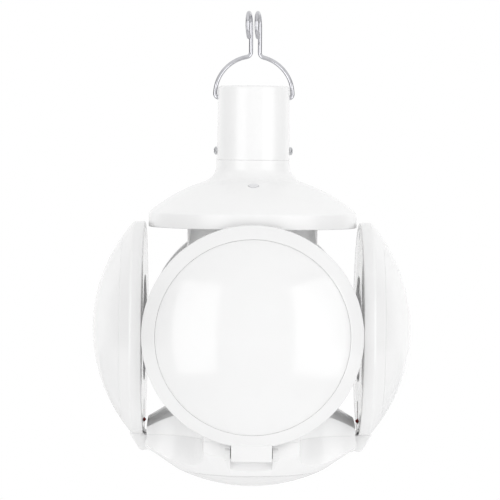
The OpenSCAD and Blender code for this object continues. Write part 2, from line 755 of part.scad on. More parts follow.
module petal_cover(i) color("white") at_petal(i) difference() {
    union() {
        petal_disc(cover_r, petal_back_d, petal_back_d + cover_t);
        difference() {
            petal_disc(board_r - 1, petal_back_d, board_d);
            petal_disc(board_r - 3, petal_back_d - cut, board_d + cut);
        }
    }
    petal_disc(vent_r, petal_back_d - cut, petal_back_d + 0.7);
    ring_of(vent_n, 0) translate([vent_inner_r, -vent_w / 2, petal_back_d - cut])
        cube([vent_r - 2 - vent_inner_r, vent_w, cover_t + 2 * cut]);
    translate([-slot_w / 2, slot_low - petal_h, petal_back_d - cut])
        cube([slot_w, slot_high - slot_low, board_d - petal_back_d + 2 * cut]);
    ring_of(3, petal_screw_r, 90) {
        petal_disc(petal_screw_d / 2 + 0.1, petal_back_d - cut, ball_r);
        petal_disc(petal_screw_head_d / 2 + 0.1, petal_back_d - cut, petal_back_d + petal_screw_head_t);
    }
}

module petal_diffuser(i) color("whitesmoke") at_petal(i) {
    skin_r = petal_ball_r - diffuser_t;
    intersection() {
        petal_shell(petal_ball_r, skin_r);
        petal_disc(diffuser_r - fit / 2, petal_back_d, ball_r + cut);
    }
    intersection() {
        petal_shell(petal_ball_r - bezel_t - 0.05, petal_ball_r - bezel_t - flange_t);
        difference() {
            petal_disc(ledge_r, petal_back_d, ball_r);
            petal_disc(diffuser_r - 2, petal_back_d - cut, ball_r + cut);
        }
    }
    intersection() {
        petal_shell(skin_r + 0.1, petal_ball_r - bezel_t - 1);
        difference() {
            petal_disc(diffuser_r - fit / 2, petal_back_d, ball_r);
            petal_disc(diffuser_r - 2, petal_back_d - cut, ball_r + cut);
        }
    }
}

module petal_led_board(i) color("ivory") at_petal(i) translate([0, 0, board_d])
    emitter_board(board_r, [[26, 34], [18, 25], [12, 16], [5, 7]]);

module petal_screws(i) color("silver") at_petal(i) ring_of(3, petal_screw_r, 90)
    translate([0, 0, petal_back_d + petal_screw_head_t]) rotate([180, 0, 0])
        screw(petal_screw_d, petal_screw_head_d, petal_screw_head_t, petal_screw_l);

module petal_leads(i) color("firebrick") at_side(i) for (s = [-1, 1]) lead([
    [s * 1.2, -board_d + 1.1, slot_high - 3], [s * 1.2, -petal_back_d - 0.9, slot_high - 5],
    [s * 1.2, -petal_back_d - 0.9, slot_low + 2.5], [s * 1.2, -petal_back_d + 0.1, slot_low + 1.5]
], lead_d);

// ---------- parts ----------

hook_wire_left();
hook_wire_right();
neck_cap();
neck_screws();
power_button();
charge_port();
control_board();
upper_housing();
signal_window();
dome_screws();
column_shell();
driver_board();
battery_cells();
battery_holder();
column_screws();
deck_cover();
bottom_housing();
housing_screws();
bottom_led_board();
bottom_diffuser();
hinge_pins();
hinge_washers();
supply_leads();
for (i = [0:3]) {
    petal_frame(i);
    petal_cover(i);
    petal_diffuser(i);
    petal_led_board(i);
    petal_screws(i);
    petal_leads(i);
}
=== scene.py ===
"""Looks of the folding ball lamp: white moulded housings, opal light petals and a drawn-wire hook."""

import math

import bpy
from mathutils import Matrix, Vector


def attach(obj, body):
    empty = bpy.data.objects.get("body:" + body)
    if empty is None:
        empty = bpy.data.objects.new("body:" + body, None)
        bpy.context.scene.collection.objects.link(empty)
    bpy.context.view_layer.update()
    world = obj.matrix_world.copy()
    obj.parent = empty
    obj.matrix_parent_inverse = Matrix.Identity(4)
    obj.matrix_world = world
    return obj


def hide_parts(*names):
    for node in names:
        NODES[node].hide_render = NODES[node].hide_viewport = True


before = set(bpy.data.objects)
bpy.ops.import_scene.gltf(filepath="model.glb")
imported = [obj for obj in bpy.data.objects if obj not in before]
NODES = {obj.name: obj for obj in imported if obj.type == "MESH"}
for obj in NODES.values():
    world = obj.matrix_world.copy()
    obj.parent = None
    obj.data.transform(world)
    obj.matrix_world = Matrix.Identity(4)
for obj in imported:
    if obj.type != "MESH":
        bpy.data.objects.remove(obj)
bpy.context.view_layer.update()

MM = 0.001
BALL_Z = -149.7          # centre of the closed ball, from the hanging point
SIDES = ["front", "right", "rear", "left"]

# Sizes of the lamp in millimetres, as built in CAD; heights ("_H") are above the ball's centre.
BALL_R = 75.0
SHELL_T = 2.2            # wall of the housings
CAP_LOW, CAP_H, CAP_T = 81.5, 34.8, 2.0
CAP_LOW_R, CAP_TOP_R = 17.2, 16.8
HOOK_HOLE_H = 110.8
NECK_SCREW_H = CAP_LOW + 4.4
SOCKET_H = CAP_LOW + 14.6
BUTTON_H = CAP_LOW + 23.6
SPIGOT_R, SPIGOT_FILLET_R = 17.4, 8.0
SKIRT_H, SKIRT_R = 50.0, 49.0
WINDOW_TILT = 21.5       # degrees from the vertical
COLUMN_R, COLUMN_T = 30.7, 2.0
COLUMN_LOW_H, COLUMN_TOP_H = -34.1, 57.0
ARM_D = 48.5             # end faces of the four hinge arms, from the lamp's axis
HOLLOW_R, HOLLOW_C = 26.0, 47.7
DECK_JOINT_H, DECK_EDGE_H = -46.1, -40.0
DECK_TAN = math.tan(math.radians(31))
LENS_JOINT_H, LENS_R, LENS_DROP = -63.5, 35.5, 8.5
BOWL_TAN = math.tan(math.radians(34.8))
HINGE_D, HINGE_H, KNUCKLE_R = 46.3, -51.5, 3.0
NOTCH_W, LUG_T, LUG_R = 19.3, 2.4, 3.4
PETAL_D, PETAL_H, PETAL_R = 50.5, 2.2, 50.2
PETAL_BALL_R = math.hypot(PETAL_R, PETAL_D + 5.2)
DIFFUSER_R, COVER_R, COVER_T = 44.0, 47.3, 1.8
TAB_W = 18.6


# ---------- shaping in edit mode ----------

def only(piece):
    """Selects one piece and makes it the active one."""
    bpy.ops.object.select_all(action="DESELECT")
    piece.select_set(True)
    bpy.context.view_layer.objects.active = piece


def edit(piece):
    """Opens one piece in edit mode."""
    only(piece)
    bpy.ops.object.mode_set(mode="EDIT")


def done():
    """Leaves edit mode."""
    bpy.ops.object.mode_set(mode="OBJECT")


def spot(x, y, z):
    """A place in millimetres from the ball's centre, in metres from the hanging point."""
    return Vector((x, y, z + BALL_Z)) * MM


def named(piece, name):
    """Names a piece and its mesh."""
    piece.name = piece.data.name = name
    return piece


def draw(name, places):
    """A line of edges through the places, extruded point by point from a plane merged to one point."""
    bpy.ops.object.select_all(action="DESELECT")
    bpy.ops.mesh.primitive_plane_add(size=MM)
    piece = named(bpy.context.object, name)
    bpy.ops.object.mode_set(mode="EDIT")
    bpy.ops.mesh.select_mode(type="VERT")
    bpy.ops.mesh.select_all(action="SELECT")
    bpy.ops.mesh.merge(type="CENTER")
    bpy.ops.transform.translate(value=places[0])
    for here, there in zip(places, places[1:]):
        bpy.ops.mesh.extrude_vertices_move(TRANSFORM_OT_translate={"value": there - here})
    return piece


def turned(name, outline, centre=(0, 0, 0), axis=(0, 0, 1), closed=False, steps=128):
    """A piece turned round an axis from its outline, given in metres."""
    places = list(outline)
    if closed:
        places.append(places[0])
    piece = draw(name, places)
    bpy.ops.mesh.select_all(action="SELECT")
    if closed:
        bpy.ops.mesh.remove_doubles(threshold=0.002 * MM)
    bpy.ops.mesh.spin(steps=steps, angle=math.tau, center=centre, axis=axis)
    bpy.ops.mesh.select_all(action="SELECT")
    bpy.ops.mesh.remove_doubles(threshold=0.004 * MM)
    bpy.ops.mesh.normals_make_consistent(inside=False)
    done()
    return piece


def plate(name, outline, push):
    """A flat outline filled and extruded by push."""
    piece = draw(name, list(outline) + [outline[0]])
    bpy.ops.mesh.select_all(action="SELECT")
    bpy.ops.mesh.remove_doubles(threshold=0.002 * MM)
    bpy.ops.mesh.edge_face_add()
    bpy.ops.mesh.extrude_region_move(TRANSFORM_OT_translate={"value": push})
    bpy.ops.mesh.select_all(action="SELECT")
    bpy.ops.mesh.normals_make_consistent(inside=False)
    done()
    return piece


def block(name, low, high, round_by=0.0):
    """A box from corner to corner, its edges rounded; a cutter."""
    bpy.ops.object.select_all(action="DESELECT")
    bpy.ops.mesh.primitive_cube_add(size=1)
    piece = named(bpy.context.object, name)
    bpy.ops.object.mode_set(mode="EDIT")
    bpy.ops.transform.resize(value=high - low, center_override=(0, 0, 0))
    bpy.ops.transform.translate(value=(low + high) / 2)
    if round_by:
        bpy.ops.mesh.bevel(offset=round_by * MM, segments=4, profile=0.5, affect="EDGES")
    done()
    return piece


def rod(name, low, high, r, steps=48):
    """A cylinder between two places; a cutter or the start of a lug."""
    run = high - low
    bpy.ops.object.select_all(action="DESELECT")
    bpy.ops.mesh.primitive_cylinder_add(
        vertices=steps, radius=r * MM, depth=run.length, location=(low + high) / 2,
        rotation=run.to_track_quat("Z", "Y").to_euler())
    piece = named(bpy.context.object, name)
    bpy.ops.object.transform_apply(location=True, rotation=True, scale=True)
    return piece


def round_edges(piece, test, width, segments=5):
    """Rounds the edges between two faces whose normals, the lower one first, pass the test."""
    edit(piece)
    bpy.ops.mesh.select_mode(type="EDGE")
    bpy.ops.mesh.select_all(action="DESELECT")
    done()
    beside = {}
    for face in piece.data.polygons:
        for key in face.edge_keys:
            beside.setdefault(key, []).append(face.normal)
    for edge in piece.data.edges:
        normals = beside.get(edge.key, [])
        edge.select = len(normals) == 2 and test(*sorted(normals, key=lambda n: n.z))
    edit(piece)
    bpy.ops.mesh.bevel(offset=width * MM, segments=segments, profile=0.5, affect="EDGES",
                       clamp_overlap=True)
    done()


def merge_slivers(piece, gap=0.02):
    """Merges the points that a cut leaves closer together than the gap."""
    edit(piece)
    bpy.ops.mesh.select_all(action="SELECT")
    bpy.ops.mesh.remove_doubles(threshold=gap * MM)
    bpy.ops.mesh.normals_make_consistent(inside=False)
    done()
    return piece


# ---------- modifiers and copies ----------

def finish_with(piece, kind, **settings):
    """Adds a modifier with its settings and applies it."""
    only(piece)
    change = piece.modifiers.new(kind.title(), kind)
    for key, value in settings.items():
        setattr(change, key, value)
    bpy.ops.object.modifier_apply(modifier=change.name)
    return piece


def carve(piece, tool, how="DIFFERENCE"):
    """Cuts a tool out of a piece, joins it on or keeps what both share, and takes the tool away."""
    finish_with(piece, "BOOLEAN", operation=how, solver="EXACT", object=tool)
    bpy.data.objects.remove(tool)
    return piece


def smooth(piece, angle=32):
    """Shades a piece smooth, up to an angle in degrees."""
    only(piece)
    bpy.ops.object.shade_smooth_by_angle(angle=math.radians(angle))
    return piece


def soften(piece, width, angle=28, segments=3):
    """Rounds the piece's sharp edges and smooths it."""
    finish_with(piece, "BEVEL", width=width * MM, segments=segments, limit_method="ANGLE",
                angle_limit=math.radians(angle), use_clamp_overlap=True, harden_normals=False)
    return smooth(piece)


def copy_of(piece, name, change=Matrix.Identity(4)):
    """A copy with its own mesh, moved by a change."""
    twin = piece.copy()
    twin.data = piece.data.copy()
    named(twin, name)
    bpy.context.scene.collection.objects.link(twin)
    twin.data.transform(change)
    return twin


def joined(pieces, name):
    """Several separate pieces as one."""
    bpy.ops.object.select_all(action="DESELECT")
    for piece in pieces:
        piece.select_set(True)
    bpy.context.view_layer.objects.active = pieces[0]
    bpy.ops.object.join()
    return named(pieces[0], name)


def quarter(side):
    """The turn from the front to a side, counted in quarters."""
    return Matrix.Rotation(math.pi / 2 * side, 4, "Z")


def four_round(piece, name):
    """The piece and its copies on the other three sides, as one."""
    return joined([piece] + [copy_of(piece, name, quarter(side)) for side in (1, 2, 3)], name)


# ---------- outlines ----------

def arc(cx, cy, r, start, end, steps):
    """Points of an arc in an outline, angles in degrees."""
    turns = [math.radians(start + (end - start) * k / steps) for k in range(steps + 1)]
    return [(cx + r * math.cos(t), cy + r * math.sin(t)) for t in turns]


def eased(points, corners, steps=5):
    """The outline with some corners rounded: corners maps a point's number to its rounding."""
    out = []
    for k, point in enumerate(points):
        if k not in corners:
            out.append(point)
            continue
        here = Vector(point)
        before, after = Vector(points[k - 1]), Vector(points[(k + 1) % len(points)])
        a = here + (before - here).normalized() * corners[k]
        b = here + (after - here).normalized() * corners[k]
        for n in range(steps + 1):
            t = n / steps
            out.append(tuple(a * (1 - t) ** 2 + here * 2 * t * (1 - t) + b * t ** 2))
    return out


def upright(points):
    """Outline points (radius, height) as places for a piece turned round the lamp's axis."""
    return [spot(r, 0, h) for r, h in points]


def turned_petal(name, points, closed=False):
    """A front petal's piece turned from outline points (radius, distance from the lamp's axis)."""
    return turned(name, [spot(r, -d, PETAL_H) for r, d in points], centre=spot(0, 0, PETAL_H),
                  axis=(0, 1, 0), closed=closed, steps=160)


def ball_arc(start_r, end_r, steps, ball_r=PETAL_BALL_R):
    """Outline points on the petals' ball, from one radius round the petal's middle to another."""
    radii = [start_r + (end_r - start_r) * k / steps for k in range(steps + 1)]
    return [(r, ball_depth(r, ball_r)) for r in radii]


def ball_depth(r, ball_r=PETAL_BALL_R):
    """How far the petals' ball reaches out at a radius round the petal's middle."""
    return math.sqrt(ball_r * ball_r - r * r)


# ---------- materials ----------

# Where nearly all values of a noise lie
MIDDLE = {"From Min": 0.3, "From Max": 0.7}


def linear(colour):
    """An sRGB hex colour as linear red, green, blue and alpha."""
    parts = [int(colour[k:k + 2], 16) / 255 for k in (1, 3, 5)]
    return tuple(p / 12.92 if p <= 0.04045 else ((p + 0.055) / 1.055) ** 2.4 for p in parts) + (1.0,)


def add(tree, kind, inputs=None, **settings):
    """Adds a node with its settings, or takes the tree's own by name, and sets or links its inputs."""
    made = tree.nodes.get(kind) or tree.nodes.new(kind)
    for key, value in settings.items():
        setattr(made, key, value)
    for key, value in (inputs or {}).items():
        if isinstance(value, bpy.types.Node):
            value = value.outputs[0]
        if isinstance(value, bpy.types.NodeSocket):
            tree.links.new(value, made.inputs[key])
        else:
            made.inputs[key].default_value = value
    return made


def begin(name):
    """A new material, its tree, and the object coordinates that its patterns read."""
    material = bpy.data.materials.new(name)
    material.use_nodes = True
    tree = material.node_tree
    return material, tree, add(tree, "ShaderNodeTexCoord").outputs["Object"]


def clouded(tree, place, size_mm, low, high):
    """A colour that drifts between two tones in clouds of a size."""
    cloud = add(tree, "ShaderNodeTexNoise", {"Vector": place, "Scale": 1 / (size_mm * MM), "Detail": 2})
    tone = add(tree, "ShaderNodeMapRange", {"Value": cloud, **MIDDLE, "To Min": 0, "To Max": 1})
    colour = add(tree, "ShaderNodeMix", {0: tone, 6: linear(low), 7: linear(high)}, data_type="RGBA")
    return colour.outputs[2]


def surfaced(tree, colour, gloss, relief, depth_mm, more):
    """Gives the material's shader its colour, its gloss, a relief of a depth and what more it needs."""
    bump = add(tree, "ShaderNodeBump", {"Height": relief, "Distance": depth_mm * MM, "Strength": 1})
    add(tree, "Principled BSDF", {"Base Color": colour, "Roughness": gloss, "Normal": bump, **more})


def moulded_abs(name, low, high, gloss_low, gloss_high):
    """Injection-moulded ABS from a polished mould: a clean gloss with a slow ripple and a breath of haze."""
    material, tree, place = begin(name)
    haze = add(tree, "ShaderNodeTexNoise", {"Vector": place, "Scale": 1 / (5 * MM), "Detail": 4})
    ripple = add(tree, "ShaderNodeTexNoise", {"Vector": place, "Scale": 1 / (9 * MM), "Detail": 1})
    # The mould's pits are finer than 0.1 mm and are drawn coarser, so that they can show
    grain = add(tree, "ShaderNodeTexNoise", {"Vector": place, "Scale": 1 / (0.35 * MM), "Detail": 2})
    gloss = add(tree, "ShaderNodeMapRange",
                {"Value": haze, **MIDDLE, "To Min": gloss_low, "To Max": gloss_high})
    pits = add(tree, "ShaderNodeMapRange", {"Value": grain, **MIDDLE, "To Min": 0, "To Max": 0.06})
    relief = add(tree, "ShaderNodeMath", {0: ripple, 1: pits}, operation="ADD")
    surfaced(tree, clouded(tree, place, 26, low, high), gloss, relief, 0.012, {"IOR": 1.54})
    return material


def opal_polycarbonate(name):
    """Opal polycarbonate, moulded glossy: milky, lit from within a little, with crisp reflections."""
    material, tree, place = begin(name)
    haze = add(tree, "ShaderNodeTexNoise", {"Vector": place, "Scale": 1 / (7 * MM), "Detail": 3})
    ripple = add(tree, "ShaderNodeTexNoise", {"Vector": place, "Scale": 1 / (16 * MM), "Detail": 1})
    gloss = add(tree, "ShaderNodeMapRange", {"Value": haze, **MIDDLE, "To Min": 0.1, "To Max": 0.16})
    surfaced(tree, clouded(tree, place, 34, "#F5F5F5", "#F7F7F7"), gloss, ripple, 0.01,
             {"IOR": 1.585, "Subsurface Weight": 0.25, "Subsurface Scale": 4 * MM,
              "Subsurface Radius": (1, 1, 1)})
    return material


def drawn_steel(name):
    """Bright drawn steel wire: mirror-like along its length, with die marks that soften the highlight."""
    material, tree, place = begin(name)
    # Die marks are hundredths of a millimetre wide and are drawn coarser, so that they can show
    marks = add(tree, "ShaderNodeTexNoise",
                {"Vector": place, "Scale": 1 / (0.25 * MM), "Detail": 4, "Roughness": 0.7})
    gloss = add(tree, "ShaderNodeMapRange", {"Value": marks, **MIDDLE, "To Min": 0.05, "To Max": 0.12})
    surfaced(tree, clouded(tree, place, 3, "#BABABE", "#CCCCD0"), gloss, marks, 0.002,
             {"Metallic": 1, "Anisotropic": 0.3})
    return material


def plated_steel(name, low, high):
    """Plated or ground steel: slightly tinted, finely grained and a little dull."""
    material, tree, place = begin(name)
    # The plating's crystals are finer than 0.1 mm and are drawn coarser, so that they can show
    grain = add(tree, "ShaderNodeTexNoise",
                {"Vector": place, "Scale": 1 / (0.3 * MM), "Detail": 4, "Roughness": 0.65})
    gloss = add(tree, "ShaderNodeMapRange", {"Value": grain, **MIDDLE, "To Min": 0.24, "To Max": 0.4})
    surfaced(tree, clouded(tree, place, 1.6, low, high), gloss, grain, 0.008, {"Metallic": 1})
    return material


def satin_plastic(name, low, high, gloss_low, gloss_high, grain_mm, depth_mm, ior):
    """Spark-eroded moulded plastic or a drawn sleeve: a fine even grain that breaks the gloss."""
    material, tree, place = begin(name)
    grain = add(tree, "ShaderNodeTexNoise",
                {"Vector": place, "Scale": 1 / (grain_mm * MM), "Detail": 3, "Roughness": 0.6})
    gloss = add(tree, "ShaderNodeMapRange",
                {"Value": grain, **MIDDLE, "To Min": gloss_low, "To Max": gloss_high})
    surfaced(tree, clouded(tree, place, 11, low, high), gloss, grain, depth_mm, {"IOR": ior})
    return material


def solder_mask(name, low, high, tracks):
    """Glass-fibre board under solder mask: tracks stand a little proud and show through paler."""
    material, tree, place = begin(name)
    cells = add(tree, "ShaderNodeTexVoronoi", {"Vector": place, "Scale": 1 / (2.2 * MM)},
                feature="DISTANCE_TO_EDGE", distance="EUCLIDEAN").outputs["Distance"]
    haze = add(tree, "ShaderNodeTexNoise", {"Vector": place, "Scale": 1 / (1.5 * MM), "Detail": 3})
    track = add(tree, "ShaderNodeMapRange",
                {"Value": cells, "From Min": 0.05, "From Max": 0.09, "To Min": 1, "To Max": 0})
    colour = add(tree, "ShaderNodeMix",
                 {0: track, 6: clouded(tree, place, 8, low, high), 7: linear(tracks)}, data_type="RGBA")
    gloss = add(tree, "ShaderNodeMapRange", {"Value": haze, **MIDDLE, "To Min": 0.3, "To Max": 0.45})
    surfaced(tree, colour.outputs[2], gloss, track, 0.03,
             {"IOR": 1.5, "Coat Weight": 0.25, "Coat Roughness": 0.15})
    return material


def emitter_plate(name, axis, sign, step_mm):
    """White-masked aluminium board: yellow phosphor on the emitters above it, and behind it bare aluminium
    painted dark mauve-grey as painted shade.
    """
    material, tree, place = begin(name)
    along = add(tree, "ShaderNodeSeparateXYZ", {"Vector": place}).outputs[axis]
    reach = add(tree, "ShaderNodeMath", {0: along, 1: sign}, operation="MULTIPLY")
    raised = add(tree, "ShaderNodeMath", {0: reach, 1: step_mm * MM}, operation="GREATER_THAN")
    behind = add(tree, "ShaderNodeMath", {0: reach, 1: (step_mm - 1.1) * MM}, operation="LESS_THAN")
    cloud = add(tree, "ShaderNodeTexNoise", {"Vector": place, "Scale": 1 / (6 * MM), "Detail": 2})
    haze = add(tree, "ShaderNodeTexNoise", {"Vector": place, "Scale": 1 / (1.2 * MM), "Detail": 3})
    grain = add(tree, "ShaderNodeTexNoise", {"Vector": place, "Scale": 1 / (0.6 * MM), "Detail": 2})
    mask = add(tree, "ShaderNodeMix",
               {0: cloud, 6: linear("#E9EAE6"), 7: linear("#F3F3F0")}, data_type="RGBA")
    front = add(tree, "ShaderNodeMix",
                {0: raised, 6: mask.outputs[2], 7: linear("#E9D98A")}, data_type="RGBA")
    colour = add(tree, "ShaderNodeMix",
                 # Behind the board: bare aluminium, painted a dark mauve-grey far below its own tone, as
                 # painted shade in the vents.
                 {0: behind, 6: front.outputs[2], 7: linear("#8F8A93")}, data_type="RGBA")
    gloss = add(tree, "ShaderNodeMapRange", {"Value": haze, **MIDDLE, "To Min": 0.3, "To Max": 0.5})
    surfaced(tree, colour.outputs[2], gloss, grain, 0.01, {"IOR": 1.5, "Metallic": behind})
    return material


SHELL = moulded_abs("glossy_moulded_abs", "#F5F5F5", "#F7F7F7", 0.16, 0.26)
BACK = moulded_abs("mirror_moulded_abs_petal_back", "#F5F5F5", "#F7F7F7", 0.04, 0.08)
# The column is the shell's white ABS painted paler: painted light, to lift the shade it sits in between the
# petals.
COLUMN_PAINTED_LIGHT = moulded_abs("polished_moulded_abs_column_painted_light", "#F9F9F9", "#FBFBFB", 0.06, 0.12)
# The petal frames are the shell's white ABS painted a little darker: painted shade, so that they read as
# dark as the lenses beside them.
FRAME_PAINTED_SHADE = moulded_abs("glossy_moulded_abs_frame_painted_shade", "#F0F0F0", "#F3F3F3", 0.14, 0.22)
OPAL = opal_polycarbonate("opal_polycarbonate")
WIRE = drawn_steel("bright_drawn_steel_wire")
SCREW = plated_steel("zinc_plated_steel_screw", "#C6C7CA", "#DADBDD")
PIN = plated_steel("ground_steel_pin", "#A7A7A9", "#C2C2C4")
SOCKET = plated_steel("nickel_plated_socket_shell", "#A9A6A0", "#C6C3BC")
BUTTON = satin_plastic("satin_abs_button", "#B6B8BB", "#BFC1C4", 0.42, 0.55, 0.4, 0.012, 1.5)
SIGNAL = satin_plastic("frosted_acrylic_signal_window", "#E2E2E4", "#EAEAEC", 0.2, 0.3, 0.6, 0.006, 1.49)
BLACK = satin_plastic("moulded_black_nylon", "#131313", "#1C1C1D", 0.45, 0.6, 0.5, 0.02, 1.53)
LEAD = satin_plastic("silicone_lead_sleeve", "#A41B17", "#B5231D", 0.4, 0.5, 0.8, 0.01, 1.41)
CELL = satin_plastic("heat_shrunk_cell_sleeve", "#2B5E9E", "#3169AC", 0.18, 0.3, 2.0, 0.03, 1.53)
BOARD = solder_mask("green_solder_masked_board", "#0E4527", "#125230", "#2E7A4C")


# ---------- hook ----------

def hook_wire(name, side):
    """A bent wire: foot, quarter of the bail, leg, and an open ring; side is -1 left and 1 right."""
    wire_r, bail_r, foot_r, bend_r, ring_r, rise = 1.0, 18.2, 1.8, 2.4, 6.0, 33.4
    yaw = math.radians(8.5)
    leg = 2.1 + side * 0.6
    bend_x = leg + bend_r
    bend_z = math.sqrt((bail_r + bend_r) ** 2 - bend_x ** 2)
    turn = math.degrees(math.atan2(bend_z, bend_x))
    foot_x = bail_r - foot_r
    flat = [(foot_x - inward, 0) for inward in (4.6, 2.4)]
    flat += arc(foot_x, foot_r, foot_r, -90, 0, 10)
    flat += [(x, z + foot_r) for x, z in arc(0, 0, bail_r, 0, turn, 30)[1:]]
    flat += [(x, z + foot_r) for x, z in arc(bend_x, bend_z, bend_r, 180 + turn, 180, 10)[1:]]
    leg_z = bend_z + foot_r
    flat += [(leg, leg_z + (rise - leg_z) * k / 5) for k in range(1, 5)]
    places = [Vector((side * x, 0, z)) for x, z in flat]
    for y, z in arc(0, 0, ring_r, 0, 258, 60):
        across = y - ring_r
        places.append(Vector((side * leg + math.sin(yaw) * across, math.cos(yaw) * across, rise + z)))
    lean = math.atan2(ring_r * math.cos(yaw), rise)
    tilt = Matrix.Rotation(-lean, 4, "X")
    places = [(tilt @ p) + Vector((0, 0, HOOK_HOLE_H + BALL_Z)) for p in places]
    line = bpy.data.curves.new(name, "CURVE")
    line.dimensions = "3D"
    line.bevel_depth = wire_r * MM
    line.bevel_resolution = 7
    line.use_fill_caps = True
    run = line.splines.new("POLY")
    run.points.add(len(places) - 1)
    for point, place in zip(run.points, places):
        point.co = (*(place * MM), 1)
    piece = bpy.data.objects.new(name, line)
    bpy.context.scene.collection.objects.link(piece)
    only(piece)
    bpy.ops.object.convert(target="MESH")
    piece = merge_slivers(bpy.context.object, 0.004)
    return soften(piece, 0.22, 60, 3)


# ---------- cap and dome ----------

def neck_cap():
    """The cap: a slightly tapered cup with a rounded top edge and its holes."""
    low, high = CAP_LOW, CAP_LOW + CAP_H
    hook_hole_r, screw_hole_r, button_hole_r = 1.12, 1.3, 3.7
    near, far, rear = 12, 20, 10          # where the hole cutters start and end
    outline = [(CAP_LOW_R - CAP_T, low), (CAP_LOW_R, low), (CAP_TOP_R, high), (0, high),
               (0, high - CAP_T), (CAP_TOP_R - CAP_T, high - CAP_T)]
    piece = turned("neck_cap_moulding", upright(eased(outline, {1: 0.35, 2: 1.5, 5: 0.6})), closed=True)
    for x in (-1, 1):
        for height, r in ((HOOK_HOLE_H, hook_hole_r), (NECK_SCREW_H, screw_hole_r)):
            carve(piece, rod("hole", spot(x * near, 0, height), spot(x * far, 0, height), r))
    carve(piece, rod("hole", spot(0, rear, BUTTON_H), spot(0, far, BUTTON_H), button_hole_r))
    half, r = 2.85, 1.7                   # the charging socket's opening, a stadium
    stadium = arc(half, 0, r, -90, 90, 10) + arc(-half, 0, r, 90, 270, 10)
    opening = [spot(x, rear, SOCKET_H + z) for x, z in stadium]
    carve(piece, plate("hole", opening, Vector((0, rear * MM, 0))))
    return soften(piece, 0.18, 40, 2)


def neck_screw(name, side):
    """A pan-head screw: domed head with a cross recess; side is -1 left and 1 right."""
    shank_r, shank_l, head_r, head_t = 1.2, 3.2, 1.9, 1.7
    outline = [(0, -shank_l), (shank_r, -shank_l), (shank_r, 0), (head_r, 0), (head_r, 0.7)]
    outline += [(r, min(h, head_t)) for r, h in arc(0, -1.1, 2.62, 43, 90, 8)]
    outline[-1] = (0, 1.55)
    places = [spot(side * (CAP_LOW_R + h), r, NECK_SCREW_H) for r, h in outline]
    piece = turned(name, places, centre=spot(0, 0, NECK_SCREW_H), axis=(1, 0, 0), steps=48)
    middle = spot(side * (CAP_LOW_R + 1.5), 0, NECK_SCREW_H)
    for reach in (Vector((0.8, 1.1, 0.3)) * MM, Vector((0.8, 0.3, 1.1)) * MM):
        carve(piece, block("recess", middle - reach, middle + reach))
    return soften(piece, 0.1, 35, 2)


def power_button():
    """The push button: a dished cap with a rounded rim and a retaining flange."""
    face, rim_r, flange_r = CAP_LOW_R + 0.9, 3.5, 4.3
    outline = [(0, face - 0.35), (1.6, face - 0.25), (2.7, face), (rim_r, face), (rim_r, face - 4),
               (flange_r, face - 4), (flange_r, face - 5), (0, face - 5)]
    places = [spot(r, y, BUTTON_H) for r, y in eased(outline, {3: 0.35, 2: 0.3})]
    return smooth(turned("power_button_cap", places, centre=spot(0, 0, BUTTON_H), axis=(0, 1, 0), steps=64))


def upper_housing():
    """The dome: an upright skirt, the ball, a fillet and a spigot, hollow, with a collar for the column."""
    fillet_r, inner_r, inner_skirt_r = SPIGOT_FILLET_R, BALL_R - SHELL_T, SKIRT_R - SHELL_T
    bore, sleeve_r, sleeve_top = 12.8, 14.6, CAP_LOW + 9
    fillet_x = SPIGOT_R + fillet_r
    fillet_z = math.sqrt((BALL_R + fillet_r) ** 2 - fillet_x ** 2)
    tangent = math.degrees(math.atan2(fillet_z, fillet_x))
    outline = [(SPIGOT_R, CAP_LOW)] + arc(fillet_x, fillet_z, fillet_r, 180, 180 + tangent, 12)
    outline += arc(0, 0, BALL_R, tangent, math.degrees(math.acos(SKIRT_R / BALL_R)), 16)[1:]
    edge = len(outline) - 1
    outline += [(SKIRT_R, SKIRT_H), (inner_skirt_r, SKIRT_H)]
    outline += arc(0, 0, inner_r, math.degrees(math.acos(inner_skirt_r / inner_r)),
                   math.degrees(math.acos(bore / inner_r)), 14)
    outline += [(bore, sleeve_top), (sleeve_r, sleeve_top), (sleeve_r, CAP_LOW)]
    outline = eased(outline, {0: 0.35, edge: 0.8, edge + 1: 0.5, edge + 2: 0.4})
    piece = turned("upper_housing_moulding", upright(outline), closed=True, steps=160)
    tilt = math.radians(WINDOW_TILT)
    out = Vector((0, -math.sin(tilt), math.cos(tilt)))
    carve(piece, rod("hole", spot(0, 0, 0) + out * 70 * MM, spot(0, 0, 0) + out * 78 * MM, 2.45))
    smooth(piece)
    near, far = COLUMN_R + 0.2, COLUMN_R + 2.2
    collar = [(near, SKIRT_H + 1), (far, SKIRT_H + 1), (far, 66), (near, 66)]
    tube = turned("collar", upright(eased(collar, {0: 0.3, 1: 0.3})), closed=True)
    return joined([piece, smooth(tube)], "upper_housing_moulding")


def signal_window():
    """The signal window: a small frosted lens with a raised rim round a shallow bowl."""
    outline = [(0, 75.25), (1.5, 75.2), (1.9, 75.3), (2.2, 75.25), (2.25, 75.0), (2.25, 72), (0, 72)]
    places = [Vector((r, 0, h)) * MM for r, h in eased(outline, {3: 0.12})]
    piece = turned("signal_window_lens", places, steps=48)
    tilt = Matrix.Rotation(math.radians(WINDOW_TILT), 4, "X")
    piece.data.transform(Matrix.Translation(spot(0, 0, 0)) @ tilt)
    return smooth(piece)


def column():
    """The battery column: a plain moulded tube with eased ends and a closed top."""
    low, top, under, inner_r = COLUMN_LOW_H, COLUMN_TOP_H, 54.6, COLUMN_R - COLUMN_T
    outline = [(COLUMN_R, low), (COLUMN_R, top), (12, top), (12, under), (inner_r, under), (inner_r, low)]
    return smooth(turned("column_tube", upright(eased(outline, {1: 0.6, 2: 0.3})), closed=True))


# ---------- base ----------

